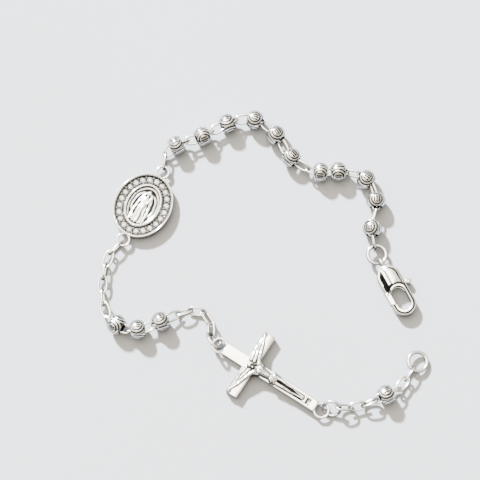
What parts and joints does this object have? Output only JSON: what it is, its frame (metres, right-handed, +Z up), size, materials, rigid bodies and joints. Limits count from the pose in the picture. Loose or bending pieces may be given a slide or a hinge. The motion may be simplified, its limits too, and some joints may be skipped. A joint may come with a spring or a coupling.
{
  "type": "rosary bracelet",
  "caption": "Silver rosary bracelet lying open: drilled grooved beads on a link chain, an oval stone-set medal, a sideways crucifix and a spring lever clasp.",
  "frame": {"origin": "middle of the laid-out bracelet, on the surface it lies on", "axes": "+Z up from the surface, +X to the right and +Y to the top of the layout as it is seen from above"},
  "size_m": [0.0667, 0.0639, 0.0041],
  "materials": {
    "silver": "polished silver",
    "clear_stone": "clear faceted stone"
  },
  "bodies": {
    "bracelet": {"clasp_body": "silver", "clasp_ring": "silver", "end_ring": "silver", "crucifix_ring_upper": "silver", "crucifix_ring_lower": "silver", "crucifix": "silver", "medal": "silver", "medal_stones": "clear_stone", "upper_chain": "silver", "lower_chain": "silver", "tail_chain": "silver", "bead_01": "silver", "bead_02": "silver", "bead_03": "silver", "bead_04": "silver", "bead_05": "silver", "bead_06": "silver", "bead_07": "silver", "bead_08": "silver", "bead_09": "silver", "bead_10": "silver", "bead_11": "silver", "bead_12": "silver", "bead_13": "silver", "bead_14": "silver", "bead_15": "silver"},
    "clasp_lever": {"clasp_lever": "silver"}
  },
  "joints": [
    {"name": "clasp_lever_pivot", "type": "hinge", "parent": "bracelet", "child": "clasp_lever", "pos_m": [0.02554, -0.00409, 0.0011], "axis": [0, 0, 1], "range_deg": [0, 22], "stiffness_Nm_per_rad": 0.01, "springref_deg": -11.46}
  ]
}
